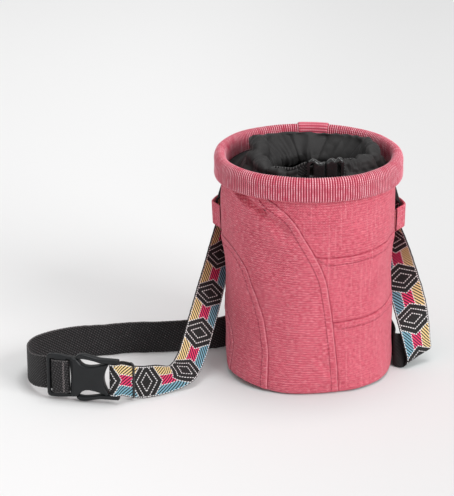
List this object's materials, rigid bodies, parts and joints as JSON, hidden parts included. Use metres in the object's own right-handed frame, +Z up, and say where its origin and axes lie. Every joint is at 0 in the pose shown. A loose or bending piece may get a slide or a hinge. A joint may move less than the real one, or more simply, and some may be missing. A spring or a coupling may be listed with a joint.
{
  "type": "climbing chalk bag",
  "caption": "Round soft chalk bag that stands open, with a stiff bound rim, a gathered inner collar, side loops and a waist belt of flat webbing closed by a side-release buckle.",
  "frame": {"origin": "centre of the round base, on the surface that the bag stands on", "axes": "+Z up out of the mouth, -Y towards the bag's front, +X to the right of somebody who looks at the front"},
  "size_m": [0.2939, 0.1545, 0.1723],
  "materials": {
    "canvas": "plain weave, matte",
    "binding": "ribbed tape",
    "nylon": "smooth coated cloth",
    "webbing": "woven, matte",
    "jacquard": "patterned woven face",
    "plastic": "moulded, satin"
  },
  "bodies": {
    "root": {"panel_upper": "canvas", "panel_middle": "canvas", "panel_lower": "canvas", "base_panel": "canvas", "rim_binding": "binding", "rim_tab": "binding", "lining": "nylon", "closure_collar": "nylon", "cinch_strap_left": "webbing", "cinch_strap_right": "webbing", "cinch_buckle_socket": "plastic", "cinch_buckle_plug": "plastic", "side_loop_left": "canvas", "side_loop_right": "canvas", "belt_sleeve": "canvas", "belt_webbing_patterned": "jacquard", "belt_webbing_black": "webbing", "buckle_socket": "plastic", "buckle_plug": "plastic", "belt_keeper": "webbing"}
  },
  "joints": []
}
